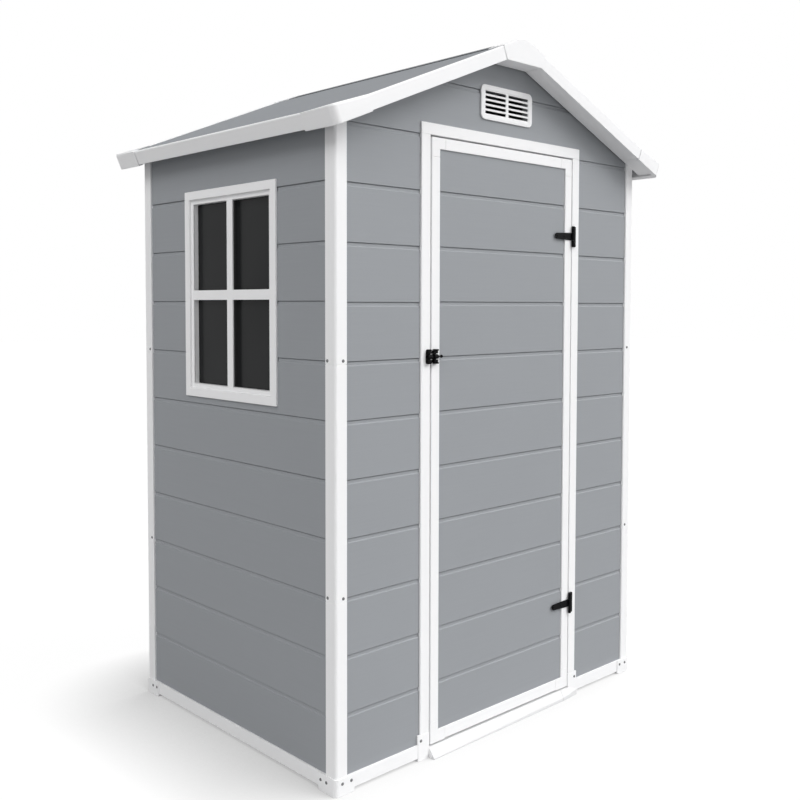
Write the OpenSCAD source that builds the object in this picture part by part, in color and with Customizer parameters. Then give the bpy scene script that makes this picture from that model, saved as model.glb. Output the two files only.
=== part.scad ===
/* [Shed body] */
// Width across the outer faces of the corner posts
shed_w = 1290; // [900:10:1800]
// Depth across the outer faces of the corner posts
shed_d = 950; // [700:10:1500]
// How far the wall panels sit back from the faces of the posts
wall_recess = 5; // [2:1:8]
// Thickness of a twin-wall panel
wall_t = 18; // [12:1:24]

/* [Corner posts] */
// Width of a post on the door side
post_w = 38; // [30:1:60]
// Width of a post on the window side
post_d = 41; // [30:1:60]
// Radius of a post's outer corner
post_r = 8; // [2:1:14]

/* [Base] */
// Height of the base rail's underside above the ground
rail_bottom = 9; // [4:1:20]
// Height of the base rail's top above the ground
rail_top = 46; // [36:1:70]
// Depth of a base rail, front to back
rail_t = 30; // [24:1:40]
// Top of the floor panel above the ground
floor_top = 40; // [30:1:44]
// Thickness of the floor panel
floor_t = 20; // [12:1:26]
// Length of a corner foot along the front
foot_w = 60; // [50:1:90]
// Length of a corner foot along the side
foot_d = 68; // [50:1:90]
// How far a foot stands proud of the posts
foot_proud = 3; // [1:1:5]

/* [Doorway] */
// Width of the doorway between its jambs
doorway_w = 627; // [560:1:800]
// Width of a jamb
jamb_w = 33; // [25:1:50]
// Depth of a jamb and of the header
jamb_t = 30; // [26:1:40]
// Height of the doorway's head above the ground
head_z = 1705; // [1600:1:1720]
// Height of the header board
header_h = 31; // [25:1:36]
// Height of a jamb's foot
jamb_foot_h = 72; // [56:1:90]
// How far a jamb's foot reaches out beside the jamb
jamb_foot_ear = 9; // [4:1:15]
// Height of the sill at the face of the doorway
sill_top = 28.5; // [22:0.5:30]

/* [Door] */
// Gap between the door and its frame on the hinge side
hinge_gap = 5.5; // [5:0.5:8]
// Gap between the door and its frame on the latch side
latch_gap = 6; // [5.5:0.5:9]
// Gap above and below the door
door_gap = 5; // [5:0.5:8]
// Thickness of the door's frame
door_t = 22; // [18:1:24]
// Width of the door's stiles and its top rail
stile_w = 30.5; // [24:0.5:50]
// Height of the door's bottom rail
bottom_rail_h = 34.5; // [26:0.5:60]
// Thickness of the door's panel
door_panel_t = 14; // [10:1:16]

/* [Hinges and latch] */
// Height of the upper hinge's centre
hinge_upper_z = 1462; // [1300:1:1600]
// Height of the lower hinge's centre
hinge_lower_z = 303; // [150:1:450]
// Height of a hinge's plate
hinge_h = 64; // [50:1:90]
// Reach of a hinge's strap from its pin
strap_reach = 84; // [60:1:120]
// Radius of a hinge's knuckle
knuckle_r = 4.5; // [4:0.5:5]
// Height of the bolt above the ground
latch_z = 1108; // [900:1:1250]
// Height of the latch plates
latch_h = 40; // [30:1:60]
// How far the latch stands out from the door
latch_proud = 13; // [12:1:18]

/* [Window] */
// Width over the window's outer trim
window_w = 456; // [300:1:600]
// Height over the window's outer trim
window_h = 604; // [400:1:700]
// Height of the window's centre
window_z = 1278; // [1150:1:1320]
// Width of the outer trim
trim_w = 25; // [20:1:40]
// Width of the sash inside the trim
sash_w = 13; // [10:1:20]

/* [Vent] */
// Width of the gable vent
vent_w = 218; // [150:1:260]
// Height of the gable vent
vent_h = 98; // [80:1:110]
// Height of the vent's centre
vent_z = 1823; // [1800:1:1840]
// Rows of slots in the vent
vent_rows = 5; // [3:1:6]

/* [Roof] */
// Slope of the roof in degrees
roof_pitch = 22.55; // [18:0.05:26]
// Height where the top planes of the rake boards meet
peak_z = 2006.5; // [1950:0.5:2050]
// Depth of the rake boards, measured straight down
fascia_h = 42.5; // [36:0.5:50]
// Reach of the roof past the posts at the front and back
rake_reach = 64; // [40:1:80]
// Reach of the eave boards past the posts
eave_reach = 62; // [40:1:80]
// Thickness of a roof panel, measured straight down
roof_t = 21.5; // [16:0.5:26]
// Radius of the rounded ridge
ridge_r = 93; // [60:1:120]
// Half width of the ridge cap
ridge_half = 78; // [70:1:100]

/* [Hidden] */
$fn = 48;
eps = 1;

half_w = shed_w / 2;
half_d = shed_d / 2;
wall_x = half_w - wall_recess;
wall_y = half_d - wall_recess;
inner_x = half_w - post_w;
inner_y = half_d - post_d;

// Slopes: heights are measured at the middle and fall with the distance from it.
fall = tan(roof_pitch);
panel_drop = 1.5;
panel_top_z = peak_z - panel_drop;
panel_under_z = panel_top_z - roof_t;
rake_under_z = peak_z - fascia_h;
ridge_z = peak_z + 1.5;
soffit_under_z = rake_under_z + 3;
seat_gap = 0.2;
fascia_t = 12;
soffit_t = 6.5;
rake_y = half_d + rake_reach;
eave_x = half_w + eave_reach;
panel_end_y = rake_y - fascia_t;
tongue_half = 40;
apex_half = 78;
cap_proud = 3;
corner_start_x = 580;
corner_start_y = 418;
corner_x = eave_x + 5.5;
corner_top_z = 1720.5;
eave_under_z = rake_under_z + 1;
eave_top_z = peak_z + 3.5;
ridge_setback = 5;
ridge_end_y = half_d - ridge_setback;

// Doorway and door
open_half = doorway_w / 2;
frame_half = open_half + jamb_w;
header_top = head_z + header_h;
door_left = -open_half + latch_gap;
door_right = open_half - hinge_gap;
door_bottom = sill_top + door_gap;
door_top = head_z - door_gap;
door_back = -half_d + door_t;
panel_inset = 4;
panel_left = door_left + stile_w;
panel_right = door_right - stile_w;
panel_bottom = door_bottom + bottom_rail_h;
panel_top = door_top - stile_w;
jamb_foot_proud = 1;
ramp_reach = 22;
ramp_lip = 3;
ramp_taper = 12;
ramp_flare = 34;

// Hinge pin and bolt
pin_offset = 2.5;
pin_lift = 1;
pin_x = door_right + pin_offset;
pin_y = -half_d - knuckle_r - pin_lift;
pin_r = 2;
pin_play = 0.3;
hinge_leaf_t = 3;
hinge_leaf_w = 17.5;
leaf_setback = 0.5;
strap_root = 1.5;
strap_h = 24;
strap_tip_r = 9;
knuckle_gap = 0.5;
bolt_r = 4.5;
bolt_neck_r = bolt_r / 2;
bolt_lift = 7;
bolt_y = -half_d - bolt_lift;
bolt_play = 0.3;
bolt_setback = 2;
bolt_tip = door_left + bolt_setback;
bolt_length = 33;
bolt_grip = 14;
latch_body_w = 17;
keeper_w = 15.5;
keeper_setback = 1;

// Window and vent
window_face = -half_w - 2;
sash_lap = 4;
glass_face = -half_w + 21;
glass_t = 3;
trim_in_w = window_w - 2 * trim_w;
trim_in_h = window_h - 2 * trim_w;
window_hole_w = trim_in_w + 2 * sash_lap;
window_hole_h = trim_in_h + 2 * sash_lap;
pane_w = trim_in_w - 2 * sash_w;
pane_h = trim_in_h - 2 * sash_w;
vent_t = 10;
vent_r = 16;
vent_rim = 16;
vent_bar = 16;
slot_h = 6.5;
slot_w = (vent_w - 2 * vent_rim - vent_bar) / 2;
slot_pitch = 14;
vent_hole_w = vent_w - 2 * vent_rim;
vent_hole_h = vent_rows * slot_pitch;

// A box given by its low and high corners
module span(low, high) {
  translate(low) cube(high - low);
}

// The same shape on both sides of the middle, left and right
module left_and_right() {
  children();
  mirror([1, 0, 0]) children();
}

// An outline drawn in X and Z, given depth from y0 to y1
module upright(y0, y1) {
  translate([0, y1, 0]) rotate([90, 0, 0]) linear_extrude(y1 - y0) children();
}

// Height of a slope whose planes would meet at peak, at a distance x from the middle
function slope_z(peak, x) = peak - fall * abs(x);

// How far an end that is square to the slope moves out between the planes of two peaks
function lean(low, high) = (high - low) * sin(roof_pitch) * cos(roof_pitch);

// Distance from the middle, on the plane of a peak, of the eave board's face against the panel
function eave_seat_x(peak) = eave_x - fascia_t / cos(roof_pitch) - lean(peak, eave_top_z);

// Outline of a strip that follows the slope from x0 to x1, between two peaks. Its end near the
// ridge is upright, and its lower end is square to the slope.
module slope_strip(x0, x1, low, high) {
  out_x = x1 + lean(low, high);
  polygon([
    [x0, slope_z(low, x0)], [x1, slope_z(low, x1)],
    [out_x, slope_z(high, out_x)], [x0, slope_z(high, x0)]
  ]);
}

// Outline of a board that follows the slope and has ends cut square to it
module square_strip(x0, x1, low, high) {
  in_x = x0 + lean(low, high);
  out_x = x1 + lean(low, high);
  polygon([
    [x0, slope_z(low, x0)], [x1, slope_z(low, x1)],
    [out_x, slope_z(high, out_x)], [in_x, slope_z(high, in_x)]
  ]);
}

// Everything under the roof panels, as seen from the front, with a slight gap
module under_roof() {
  seat_z = panel_under_z - seat_gap;
  polygon([
    [-half_w, 0], [half_w, 0],
    [half_w, slope_z(seat_z, half_w)], [tongue_half, slope_z(seat_z, tongue_half)],
    [-tongue_half, slope_z(seat_z, tongue_half)], [-half_w, slope_z(seat_z, half_w)]
  ]);
}

// Everything under the rounded top of the ridge
module ridge_round(half) {
  tangent = ridge_r * sin(roof_pitch);
  centre_z = slope_z(ridge_z, tangent) - ridge_r * cos(roof_pitch);
  intersection() {
    polygon([
      [-half, 0], [half, 0],
      [half, slope_z(ridge_z, half)], [0, ridge_z], [-half, slope_z(ridge_z, half)]
    ]);
    union() {
      translate([0, centre_z]) circle(ridge_r, $fn = 180);
      translate([-half, 0]) square([2 * half, slope_z(ridge_z, tangent)]);
    }
  }
}

// Section of the ridge piece: a flange over the panels and a tongue between them
module ridge_section(half) {
  side = tongue_half - seat_gap;
  flange_z = panel_top_z + seat_gap;
  difference() {
    ridge_round(half);
    polygon([
      [-half - eps, 0], [half + eps, 0],
      [half + eps, slope_z(flange_z, half + eps)], [side, slope_z(flange_z, side)],
      [side, slope_z(panel_under_z, side)], [-side, slope_z(panel_under_z, side)],
      [-side, slope_z(flange_z, side)], [-half - eps, slope_z(flange_z, half + eps)]
    ]);
  }
}

// ---- Base ----

module floor_panel() {
  color("gray")
    span(
      [-half_w + rail_t, -half_d + rail_t, floor_top - floor_t],
      [half_w - rail_t, half_d - rail_t, floor_top]
    );
}

module base_rails_front() {
  color("whitesmoke")
    left_and_right()
      span(
        [-half_w + foot_w, -half_d, rail_bottom],
        [-frame_half - jamb_foot_ear, -half_d + rail_t, rail_top]
      );
}

module base_rails_side() {
  color("whitesmoke")
    left_and_right()
      span([-half_w, -half_d + foot_d, rail_bottom], [-half_w + rail_t, half_d - foot_d, rail_top]);
}

module base_rail_back() {
  color("whitesmoke")
    span([-half_w + foot_w, half_d - rail_t, rail_bottom], [half_w - foot_w, half_d, rail_top]);
}

// One corner foot: a block turned round the corner, standing a little proud of the post
module corner_foot() {
  corner_r = post_r + foot_proud;
  low_x = -half_w - foot_proud;
  low_y = -half_d - foot_proud;
  difference() {
    linear_extrude(rail_top) {
      translate([low_x + corner_r, low_y + corner_r]) circle(corner_r);
      translate([low_x + corner_r, low_y]) square([foot_w + foot_proud - corner_r, corner_r]);
      translate([low_x, low_y + corner_r]) square([foot_w + foot_proud, foot_d + foot_proud - corner_r]);
    }
    span([-half_w + rail_t, -half_d + rail_t, -eps], [half_w, half_d, rail_top + eps]);
  }
}

module corner_feet_front() {
  color("whitesmoke") left_and_right() corner_foot();
}

module corner_feet_back() {
  color("whitesmoke") mirror([0, 1, 0]) corner_feet_front();
}

// Each foot has an ear that lies on the face of the wall above the base rail
module jamb_feet() {
  face_y = -half_d - jamb_foot_proud;
  ear_x = -frame_half - jamb_foot_ear;
  color("whitesmoke")
    left_and_right() {
      span([ear_x, face_y, 0], [-open_half, -half_d + jamb_t, rail_top]);
      span([ear_x, face_y, 0], [-open_half, -wall_y, jamb_foot_h]);
      span([-frame_half, face_y, 0], [-open_half, -half_d + jamb_t, jamb_foot_h]);
    }
}

// The sill block between the jamb feet, with a ramp in front that flares at its right end
module door_sill() {
  right_lip = [open_half + ramp_flare, -half_d - ramp_reach + ramp_taper, 0];
  color("whitesmoke") {
    span([-open_half, -half_d, 0], [open_half, -half_d + rail_t, sill_top]);
    difference() {
      linear_extrude(sill_top)
        polygon([
          [-open_half, -half_d], [-open_half, -half_d - ramp_reach],
          [open_half - ramp_flare, -half_d - ramp_reach + ramp_taper / 2],
          [right_lip.x, right_lip.y], [open_half, -half_d - jamb_foot_proud], [open_half, -half_d]
        ]);
      translate([-shed_w / 2, -half_d, sill_top])
        rotate([90 + atan((sill_top - ramp_lip) / ramp_reach), 0, 0])
          translate([0, 0, -shed_d]) cube([shed_w, shed_d, 2 * shed_d]);
    }
  }
}

// ---- Posts and walls ----

// One corner post, from its foot to the underside of the roof
module corner_post() {
  intersection() {
    translate([0, 0, rail_top])
      linear_extrude(peak_z) {
        translate([-half_w + post_r, -half_d + post_r]) circle(post_r);
        translate([-half_w + post_r, -half_d]) square([post_w - post_r, post_d]);
        translate([-half_w, -half_d + post_r]) square([post_w, post_d - post_r]);
      }
    upright(-half_d, half_d) under_roof();
  }
}

module post_front_left() {
  color("whitesmoke") corner_post();
}

module post_front_right() {
  color("whitesmoke") mirror([1, 0, 0]) corner_post();
}

module post_back_left() {
  color("whitesmoke") mirror([0, 1, 0]) corner_post();
}

module post_back_right() {
  color("whitesmoke") mirror([1, 0, 0]) mirror([0, 1, 0]) corner_post();
}

// A front or back panel between two distances from the middle, above low_z
module gable_panel(x0, x1, low_z) {
  upright(-wall_y, -wall_y + wall_t)
    intersection() {
      translate([x0, low_z]) square([x1 - x0, peak_z]);
      under_roof();
    }
}

module wall_front_left() {
  color("darkgray") gable_panel(-inner_x, -frame_half, rail_top);
}

module wall_front_right() {
  color("darkgray") gable_panel(frame_half, inner_x, rail_top);
}

module gable_front() {
  color("darkgray")
    difference() {
      gable_panel(-frame_half, frame_half, header_top);
      span(
        [-vent_hole_w / 2, -wall_y - eps, vent_z - vent_hole_h / 2],
        [vent_hole_w / 2, -wall_y + wall_t + eps, vent_z + vent_hole_h / 2]
      );
    }
}

module wall_back() {
  color("darkgray") mirror([0, 1, 0]) gable_panel(-inner_x, inner_x, rail_top);
}

// A side panel between the posts
module side_panel() {
  upright(-inner_y, inner_y)
    intersection() {
      translate([-wall_x, rail_top]) square([wall_t, peak_z]);
      under_roof();
    }
}

module wall_left() {
  color("darkgray")
    difference() {
      side_panel();
      span(
        [-half_w, -window_hole_w / 2, window_z - window_hole_h / 2],
        [-half_w + 2 * wall_t, window_hole_w / 2, window_z + window_hole_h / 2]
      );
    }
}

module wall_right() {
  color("darkgray") mirror([1, 0, 0]) side_panel();
}

// ---- Door frame, window and vent ----

module jamb_left() {
  color("whitesmoke")
    span([-frame_half, -half_d, jamb_foot_h], [-open_half, -half_d + jamb_t, head_z]);
}

module jamb_right() {
  color("whitesmoke") mirror([1, 0, 0]) jamb_left();
}

module door_header() {
  color("whitesmoke")
    span([-frame_half, -half_d, head_z], [frame_half, -half_d + jamb_t, header_top]);
}

// A rectangular ring lying in Y and Z round the window's centre, from x0 to x1
module window_ring(x0, x1, w, h, rim) {
  difference() {
    span([x0, -w / 2, window_z - h / 2], [x1, w / 2, window_z + h / 2]);
    span(
      [x0 - eps, -w / 2 + rim, window_z - h / 2 + rim],
      [x1 + eps, w / 2 - rim, window_z + h / 2 - rim]
    );
  }
}

// Trim on the face of the wall, and a sash that fills the hole behind it
module window_frame() {
  color("whitesmoke") {
    window_ring(window_face, -wall_x, window_w, window_h, trim_w);
    window_ring(-wall_x, -wall_x + wall_t, window_hole_w, window_hole_h, sash_w + sash_lap);
  }
}

module window_glass() {
  color("dimgray")
    span(
      [glass_face, -pane_w / 2, window_z - pane_h / 2],
      [glass_face + glass_t, pane_w / 2, window_z + pane_h / 2]
    );
}

module gable_vent() {
  color("whitesmoke")
    translate([0, 0, vent_z])
      difference() {
        upright(-wall_y - vent_t, -wall_y)
          offset(vent_r) square([vent_w - 2 * vent_r, vent_h - 2 * vent_r], center = true);
        for (side = [-1, 1], row = [0 : vent_rows - 1]) {
          slot_x = side * (slot_w + vent_bar) / 2;
          slot_z = (row - (vent_rows - 1) / 2) * slot_pitch;
          translate([slot_x, -wall_y - vent_t / 2, slot_z])
            cube([slot_w, vent_t + 2 * eps, slot_h], center = true);
        }
      }
}

// ---- Roof ----

module roof_right() {
  color("gray")
    upright(-panel_end_y, panel_end_y)
      slope_strip(tongue_half, eave_seat_x(panel_under_z), panel_under_z, panel_top_z);
}

module roof_left() {
  color("gray") mirror([1, 0, 0]) roof_right();
}

module ridge_cap() {
  color("dimgray") upright(-ridge_end_y, ridge_end_y) ridge_section(ridge_half);
}

// White cap that joins the two rakes, closes the end of the ridge and has its own soffit
module apex_cap_front() {
  flat_z = slope_z(rake_under_z, apex_half);
  top_x = apex_half + lean(rake_under_z, ridge_z);
  soffit_x = apex_half + lean(rake_under_z, soffit_under_z);
  color("whitesmoke") {
    upright(-rake_y, -panel_end_y)
      intersection() {
        polygon([
          [-apex_half, flat_z], [apex_half, flat_z], [top_x, slope_z(ridge_z, top_x)],
          [0, ridge_z], [-top_x, slope_z(ridge_z, top_x)]
        ]);
        ridge_round(top_x);
      }
    upright(-panel_end_y - eps, -ridge_end_y) ridge_section(apex_half);
    span(
      [-soffit_x, -panel_end_y - eps, slope_z(soffit_under_z, soffit_x)],
      [soffit_x, -half_d, slope_z(soffit_under_z, soffit_x) + soffit_t]
    );
  }
}

module apex_cap_back() {
  color("whitesmoke") mirror([0, 1, 0]) apex_cap_front();
}

// Rake board with a soffit that runs back to the posts
module rake_front_right() {
  soffit_lean = lean(rake_under_z, soffit_under_z);
  color("whitesmoke") {
    upright(-rake_y, -panel_end_y) square_strip(apex_half, corner_start_x, rake_under_z, peak_z);
    upright(-panel_end_y - eps, -half_d)
      square_strip(
        apex_half + soffit_lean + seat_gap, corner_start_x + soffit_lean - seat_gap,
        soffit_under_z, soffit_under_z + soffit_t
      );
  }
}

module rake_front_left() {
  color("whitesmoke") mirror([1, 0, 0]) rake_front_right();
}

module rake_back_right() {
  color("whitesmoke") mirror([0, 1, 0]) rake_front_right();
}

module rake_back_left() {
  color("whitesmoke") mirror([1, 0, 0]) rake_back_right();
}

module eave_right() {
  color("whitesmoke")
    upright(-corner_start_y, corner_start_y)
      square_strip(
        eave_seat_x(eave_under_z), eave_seat_x(eave_under_z) + fascia_t / cos(roof_pitch),
        eave_under_z, eave_top_z
      );
}

module eave_left() {
  color("whitesmoke") mirror([1, 0, 0]) eave_right();
}

// Outline of the corner cap seen from the front: its top is a little flatter than the slope
module corner_outline() {
  low = rake_under_z - cap_proud;
  high = peak_z + 1;
  start_x = corner_start_x - lean(low, rake_under_z);
  in_x = start_x + lean(low, high);
  drop = (corner_top_z - slope_z(low, corner_x)) * cos(roof_pitch);
  out_x = corner_x - drop * sin(roof_pitch);
  polygon([
    [start_x, slope_z(low, start_x)], [out_x, slope_z(low, out_x)],
    [corner_x, corner_top_z], [in_x, slope_z(high, in_x)]
  ]);
}

// Cap on the front right corner of the roof: it wraps the rake's end, the eave's end, the soffit
// and the corner of the roof panel
module eave_corner() {
  cap_y = rake_y + cap_proud;
  top_z = peak_z + 20;
  upright(-cap_y, -panel_end_y) corner_outline();
  upright(-panel_end_y - eps, -corner_start_y)
    intersection() {
      corner_outline();
      union() {
        square_strip(eave_seat_x(rake_under_z - 20), shed_w, rake_under_z - 20, top_z);
        square_strip(corner_start_x, shed_w, panel_top_z + seat_gap, top_z);
      }
    }
  upright(-panel_end_y - eps, -half_d)
    intersection() {
      corner_outline();
      square_strip(
        corner_start_x - 20, eave_seat_x(soffit_under_z) + eps,
        soffit_under_z, soffit_under_z + soffit_t
      );
    }
}

module eave_corners_front() {
  color("whitesmoke") left_and_right() eave_corner();
}

module eave_corners_back() {
  color("whitesmoke") mirror([0, 1, 0]) eave_corners_front();
}

// ---- Door ----

module door_panel() {
  color("darkgray")
    span(
      [panel_left, -half_d + panel_inset, panel_bottom],
      [panel_right, -half_d + panel_inset + door_panel_t, panel_top]
    );
}

module door_stiles() {
  color("whitesmoke") {
    span([door_left, -half_d, door_bottom], [panel_left, door_back, door_top]);
    span([panel_right, -half_d, door_bottom], [door_right, door_back, door_top]);
  }
}

module door_rails() {
  color("whitesmoke") {
    span([panel_left, -half_d, door_bottom], [panel_right, door_back, panel_bottom]);
    span([panel_left, -half_d, panel_top], [panel_right, door_back, door_top]);
  }
}

// A length of knuckle round the pin, between two heights from the hinge's centre
module knuckle(z0, z1) {
  translate([pin_x, pin_y, z0]) cylinder(r = knuckle_r, h = z1 - z0);
}

// One strap: a tapered leaf on the door with the middle knuckle
module hinge_strap() {
  tip_x = pin_x - strap_reach + strap_tip_r;
  difference() {
    union() {
      upright(-half_d - hinge_leaf_t, -half_d) {
        translate([tip_x, 0]) circle(strap_tip_r);
        polygon([
          [tip_x, -strap_tip_r], [pin_x - strap_root, -strap_h / 2],
          [pin_x - strap_root, strap_h / 2], [tip_x, strap_tip_r]
        ]);
      }
      knuckle(-strap_h / 2, strap_h / 2);
    }
    translate([pin_x, pin_y, -strap_h]) cylinder(r = pin_r + pin_play, h = 2 * strap_h);
  }
}

// One plate on the jamb: a leaf, the outer knuckles and the pin through them
module hinge_plate() {
  outer = strap_h / 2 + knuckle_gap;
  difference() {
    span(
      [pin_x + leaf_setback, -half_d - hinge_leaf_t, -hinge_h / 2],
      [pin_x + hinge_leaf_w, -half_d, hinge_h / 2]
    );
    span(
      [pin_x - eps, -half_d - hinge_leaf_t - eps, -outer],
      [pin_x + knuckle_r + pin_lift, -half_d + eps, outer]
    );
  }
  knuckle(outer, hinge_h / 2);
  knuckle(-hinge_h / 2, -outer);
  translate([pin_x, pin_y, -hinge_h / 2]) cylinder(r = pin_r, h = hinge_h);
}

module hinge_straps() {
  color("black")
    for (z = [hinge_lower_z, hinge_upper_z])
      translate([0, 0, z]) hinge_strap();
}

module hinge_plates() {
  color("black")
    for (z = [hinge_lower_z, hinge_upper_z])
      translate([0, 0, z]) hinge_plate();
}

// A latch block from x0 to x1 with a hole for the bolt along X
module latch_block(x0, x1) {
  difference() {
    span([x0, -half_d - latch_proud, latch_z - latch_h / 2], [x1, -half_d, latch_z + latch_h / 2]);
    translate([x0 - eps, bolt_y, latch_z])
      rotate([0, 90, 0]) cylinder(r = bolt_r + bolt_play, h = x1 - x0 + 2 * eps);
  }
}

module latch_body() {
  color("black") latch_block(bolt_tip, bolt_tip + latch_body_w);
}

module latch_keeper() {
  keeper_x = -open_half - keeper_setback;
  color("black") latch_block(keeper_x - keeper_w, keeper_x);
}

// The bolt: a rod with a narrow neck behind its round end
module latch_bolt() {
  neck_to = bolt_length - 2 * bolt_r;
  color("black")
    translate([bolt_tip, bolt_y, latch_z])
      rotate([0, 90, 0]) {
        cylinder(r = bolt_r, h = bolt_grip);
        cylinder(r = bolt_neck_r, h = bolt_length - bolt_r);
        translate([0, 0, neck_to]) cylinder(r = bolt_r, h = 2 * bolt_r);
      }
}

floor_panel();
base_rails_front();
base_rails_side();
base_rail_back();
corner_feet_front();
corner_feet_back();
jamb_feet();
door_sill();
post_front_left();
post_front_right();
post_back_left();
post_back_right();
wall_front_left();
wall_front_right();
gable_front();
wall_left();
wall_right();
wall_back();
jamb_left();
jamb_right();
door_header();
window_frame();
window_glass();
gable_vent();
roof_left();
roof_right();
ridge_cap();
apex_cap_front();
apex_cap_back();
rake_front_left();
rake_front_right();
rake_back_left();
rake_back_right();
eave_left();
eave_right();
eave_corners_front();
eave_corners_back();
hinge_plates();
latch_keeper();
door_panel();
door_stiles();
door_rails();
hinge_straps();
latch_body();
latch_bolt();
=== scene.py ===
# %% [markdown]
# # A resin garden shed, finished in Blender
#
# The shed is sold as a kit of hollow plastic mouldings: grey boarded wall panels, white corner posts
# and trims, two grey roof panels and a dark ridge. The construction model already gives every part
# its size and place, so it is opened first and kept as a fixed frame. Each new piece is measured from
# that frame, rides on one of its bodies, and stands for the plain part that it replaces.

import math

import bmesh
import bpy
from mathutils import Matrix, Vector


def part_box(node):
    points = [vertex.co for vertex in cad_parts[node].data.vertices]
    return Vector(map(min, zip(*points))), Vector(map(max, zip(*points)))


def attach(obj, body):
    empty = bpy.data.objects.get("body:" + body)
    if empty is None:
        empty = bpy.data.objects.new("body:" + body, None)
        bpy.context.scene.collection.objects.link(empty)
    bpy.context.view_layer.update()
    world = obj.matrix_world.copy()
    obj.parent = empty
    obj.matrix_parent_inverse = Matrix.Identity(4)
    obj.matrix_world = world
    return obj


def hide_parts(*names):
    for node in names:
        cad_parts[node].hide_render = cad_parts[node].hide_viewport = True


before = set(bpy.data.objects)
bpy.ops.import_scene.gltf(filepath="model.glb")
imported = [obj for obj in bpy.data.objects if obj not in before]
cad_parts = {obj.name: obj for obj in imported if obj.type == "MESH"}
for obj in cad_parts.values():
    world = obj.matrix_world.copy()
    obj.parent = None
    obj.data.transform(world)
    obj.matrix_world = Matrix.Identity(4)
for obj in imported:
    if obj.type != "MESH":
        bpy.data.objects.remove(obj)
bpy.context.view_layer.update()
scene = bpy.context.scene
mm = 0.001

# %% [markdown]
# ## The camera
#
# The shed is seen from the front left corner, at about eye height for a seated person. The camera is
# looks down by less than three degrees, so that upright posts stay almost upright, and the frame is
# shifted down a little instead, as on a view camera.

# %% Place the camera
eye = Vector((-2.1893, -2.3528, 1.2463))
heading = math.radians(43.209)
tilt = math.radians(2.616)
roll = math.radians(0.106)
camera_data = bpy.data.cameras.new("camera")
camera_data.sensor_width = 36
camera_data.lens = 44.12
camera_data.shift_y = -0.0622
camera = bpy.data.objects.new("camera", camera_data)
turn = Matrix.Rotation(-heading, 4, "Z") @ Matrix.Rotation(math.pi / 2 - tilt, 4, "X")
camera.matrix_world = Matrix.Translation(eye) @ turn @ Matrix.Rotation(roll, 4, "Z")
scene.collection.objects.link(camera)
scene.camera = camera

# %% [markdown]
# ## One helper for shader nodes
#
# Every finish is a small tree of shader nodes. One function adds a node, sets its values and links
# its inputs, so that a material reads as a list of what is in it. Colours are written as the hex
# values that a colour card gives and turned to linear light by a second function.

# %% Add a node, and turn a hex colour to linear light
def add_node(tree, kind, settings=None, values=None, links=None):
    """Adds a shader node. Settings are its own properties, values and links are its inputs'."""
    node = tree.nodes.new(kind)
    for name, value in (settings or {}).items():
        setattr(node, name, value)
    for name, value in (values or {}).items():
        node.inputs[name].default_value = value
    for name, source in (links or {}).items():
        tree.links.new(source, node.inputs[name])
    return node


def empty_tree(holder):
    """The node tree of a material or a world, emptied."""
    holder.use_nodes = True
    holder.node_tree.nodes.clear()
    return holder.node_tree


def set_tones(ramp, positions, colours):
    """Sets the two ends of a colour ramp."""
    for stop, position, colour in zip(ramp.color_ramp.elements, positions, colours):
        stop.position = position
        stop.color = colour


def linear(hex_colour):
    """An sRGB hex colour such as '#979A9E' as linear red, green, blue and an alpha of 1."""
    parts = [int(hex_colour[i:i + 2], 16) / 255 for i in (1, 3, 5)]
    return tuple(c / 12.92 if c <= 0.04045 else ((c + 0.055) / 1.055) ** 2.4 for c in parts) + (1.0,)


def shades(hex_colour, darker, lighter):
    """A darker and a lighter shade of a hex colour, in linear light."""
    return [tuple(c * factor for c in linear(hex_colour)[:3]) + (1.0,) for factor in (darker, lighter)]


print("board grey in linear light", [round(c, 3) for c in linear("#979A9E")])

# %% [markdown]
# ## Studio light
#
# The shed stands in a white studio. Three wide soft lamps light the door side and two the window
# side, which is left a shade darker. The room looks white to the camera and in reflections,
# but gives no light of its own. The floor is white paper. It takes the shed's shadow, and a second,
# near shadow is made in its material: an occlusion node that looks up to the right darkens the paper
# where the shed stands close beside it.

# %% The room
def light_path_shows(tree):
    """1 for rays from the camera and for mirror and glass rays, and 0 for the rays that light the shed."""
    path = add_node(tree, "ShaderNodeLightPath")
    first = add_node(tree, "ShaderNodeMath", {"operation": "MAXIMUM"},
                     links={0: path.outputs["Is Camera Ray"], 1: path.outputs["Is Glossy Ray"]})
    return add_node(tree, "ShaderNodeMath", {"operation": "MAXIMUM"},
                    links={0: first.outputs[0], 1: path.outputs["Is Transmission Ray"]}).outputs[0]


room_light = 0.0
room = bpy.data.worlds.new("white studio")
sky = empty_tree(room)
lighting, showing = [
    add_node(sky, "ShaderNodeBackground", values={"Color": (1, 1, 1, 1), "Strength": strength})
    for strength in (room_light, 1.0)]
both = add_node(sky, "ShaderNodeMixShader",
                links={0: light_path_shows(sky), 1: lighting.outputs[0], 2: showing.outputs[0]})
add_node(sky, "ShaderNodeOutputWorld", links={"Surface": both.outputs[0]})
scene.world = room
scene.view_settings.view_transform = "Standard"

# %% The lamps
def add_sun(name, towards, strength, softness):
    """A distant lamp. Towards is the direction that its light comes from, softness its width in degrees."""
    lamp = bpy.data.lights.new(name, "SUN")
    lamp.energy = strength
    lamp.angle = math.radians(softness)
    holder = bpy.data.objects.new(name, lamp)
    holder.rotation_euler = Vector(towards).to_track_quat("Z", "Y").to_euler()
    scene.collection.objects.link(holder)


for name, towards, strength, softness in (("key", (0.7, -0.8, 1.0), 1.86, 40),
                                          ("front", (0.6, -0.8, 0.4), 1.23, 60),
                                          ("corner", (-0.6, -0.8, 0.8), 0.47, 40),
                                          ("side", (-1.0, -0.2, 1.0), 1.26, 40),
                                          ("side_low", (-1.0, -0.2, 0.2), 0.55, 60)):
    add_sun(name, towards, strength, softness)

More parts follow.
